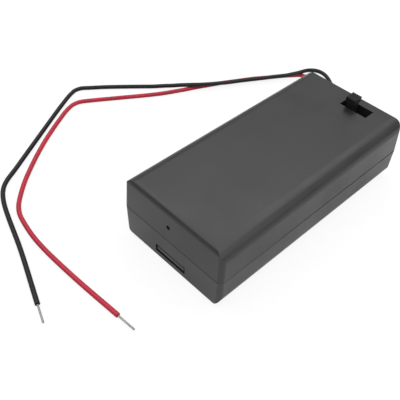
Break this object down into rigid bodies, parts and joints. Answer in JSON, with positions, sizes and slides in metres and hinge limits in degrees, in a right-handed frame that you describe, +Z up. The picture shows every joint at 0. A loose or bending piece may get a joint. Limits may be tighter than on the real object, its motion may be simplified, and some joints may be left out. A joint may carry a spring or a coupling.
{
  "type": "covered cylindrical cell holder with switch",
  "caption": "Closed plastic box for AA cells in series, with a slide-and-lift cover, a slide switch and free red and black leads with tinned ends.",
  "frame": {"origin": "centre of the closed box, at the cover's outer face, which the box rests on", "axes": "+X along the cells towards the switch and the leads, +Z up, out of the face with the switch, +Y towards the leads' side"},
  "size_m": [0.1257, 0.0907, 0.022],
  "materials": {
    "case": "fine satin moulded ABS",
    "cover": "fine satin moulded ABS",
    "contact": "nickel-plated steel strip",
    "spring": "nickel-plated spring wire",
    "switch_plastic": "satin black moulding",
    "switch_base": "brown laminate board",
    "terminal": "silvered brass",
    "bridge": "rolled spring brass",
    "solder": "dull solder",
    "copper": "twisted copper strands",
    "tin": "tinned strands",
    "black_insulation": "smooth soft vinyl",
    "red_insulation": "smooth soft vinyl"
  },
  "bodies": {
    "case_body": {"case": "case", "link_contact": "contact", "link_spring": "spring", "negative_contact": "contact", "negative_spring": "spring", "positive_contact": "contact", "switch_housing": "switch_plastic", "switch_base": "switch_base", "terminal_output": "terminal", "terminal_common": "terminal", "terminal_spare": "terminal", "link_wire": "tin", "solder_common": "solder", "solder_output": "solder", "solder_positive": "solder", "solder_negative": "solder", "black_strands": "copper", "red_strands": "copper", "black_lead": "black_insulation", "red_lead": "red_insulation", "black_tip": "tin", "red_tip": "tin"},
    "cover_body": {"cover": "cover"},
    "slider_body": {"switch_knob": "switch_plastic", "switch_bridge": "bridge"}
  },
  "joints": [
    {"name": "cover_slide", "type": "slide", "parent": "case_body", "child": "cover_body", "axis": [-1, 0, 0], "range_m": [0, 0.01]},
    {"name": "switch_slide", "type": "slide", "parent": "case_body", "child": "slider_body", "axis": [0, -1, 0], "range_m": [0, 0.0022]}
  ]
}
